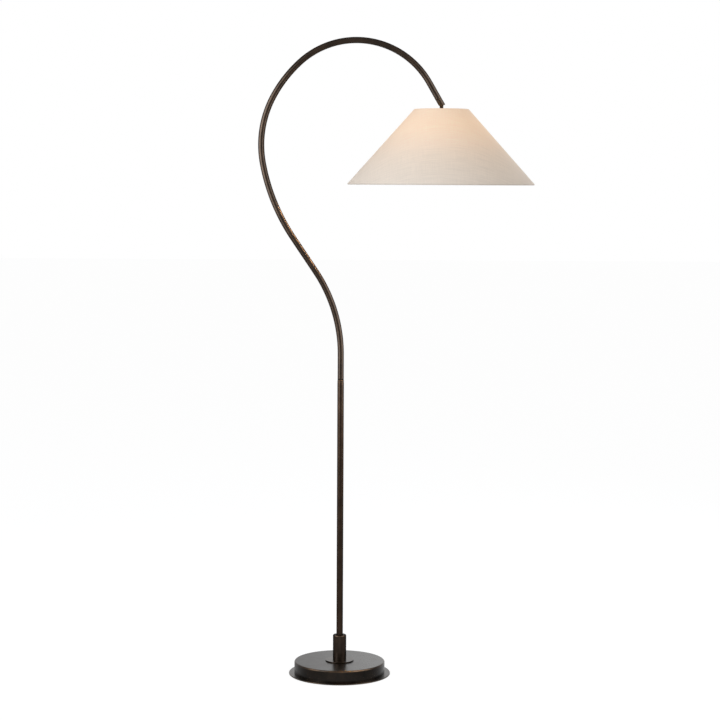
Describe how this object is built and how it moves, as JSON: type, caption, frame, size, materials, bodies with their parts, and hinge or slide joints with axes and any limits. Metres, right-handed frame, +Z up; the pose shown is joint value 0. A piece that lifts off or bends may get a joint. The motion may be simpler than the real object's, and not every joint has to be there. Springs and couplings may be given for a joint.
{
  "type": "arched floor lamp",
  "caption": "Floor lamp with a round weighted base, a slim stem, a long swan-neck arch and a hanging cone shade that tilts on a slotted ball swivel.",
  "frame": {"origin": "on the floor at the centre of the base, under the stem", "axes": "+Z up along the stem, +X from the stem towards the hanging shade, +Y to the back"},
  "size_m": [0.7505, 0.5078, 1.7493],
  "materials": {
    "bronze": "dark bronze lacquer, softly glossy",
    "felt": "black felt",
    "cast_iron": "raw casting",
    "zinc_steel": "zinc plated",
    "brass": "plain brass",
    "linen": "natural linen, lit from inside",
    "liner": "white translucent sheet",
    "wire": "white enamelled wire",
    "black_plastic": "moulded",
    "insulation": "smooth sheath",
    "card": "pressed card",
    "bulb_metal": "plain",
    "bulb_white": "frosted, lit",
    "inner_glass": "clear"
  },
  "bodies": {
    "stand": {"base_felt": "felt", "base_flange": "bronze", "base_screws": "zinc_steel", "base_weight": "cast_iron", "base_drum": "bronze", "base_disc": "bronze", "cord_bushing": "black_plastic", "base_pipe": "zinc_steel", "base_washer": "zinc_steel", "base_nut": "zinc_steel", "stem_collar": "bronze", "stem_foot_insert": "zinc_steel", "stem_tube": "bronze", "stem_top_insert": "zinc_steel", "joint_pipe": "zinc_steel", "joint_ring": "bronze", "arch_insert": "zinc_steel", "arch_tube": "bronze", "main_lead": "insulation", "swivel_cup": "bronze", "swivel_plug": "brass", "swivel_springs": "zinc_steel", "swivel_seat": "brass"},
    "shade_head": {"swivel_ball": "brass", "neck_pipe": "bronze", "neck_nut": "bronze", "shade_fitter": "wire", "shade_liner": "liner", "shade_fabric": "linen", "shade_bottom_ring": "wire", "socket_cap": "brass", "socket_shell": "brass", "socket_card": "card", "switch_block": "black_plastic", "screw_shell": "brass", "centre_contact": "brass", "head_lead": "insulation", "bulb_cap": "bulb_metal", "bulb_insulator": "black_plastic", "bulb_glass": "bulb_white", "bulb_mount": "inner_glass"},
    "switch_key": {"switch_shaft": "brass", "switch_knob": "black_plastic"}
  },
  "joints": [
    {"name": "shade_tilt", "type": "hinge", "parent": "stand", "child": "shade_head", "pos_m": [0.27, 0, 1.5697], "axis": [0, 1, 0], "range_deg": [-30, 30]},
    {"name": "switch_turn", "type": "hinge", "parent": "shade_head", "child": "switch_key", "pos_m": [0.2895, 0, 1.51521], "axis": [1, 0, 0], "continuous": true}
  ]
}
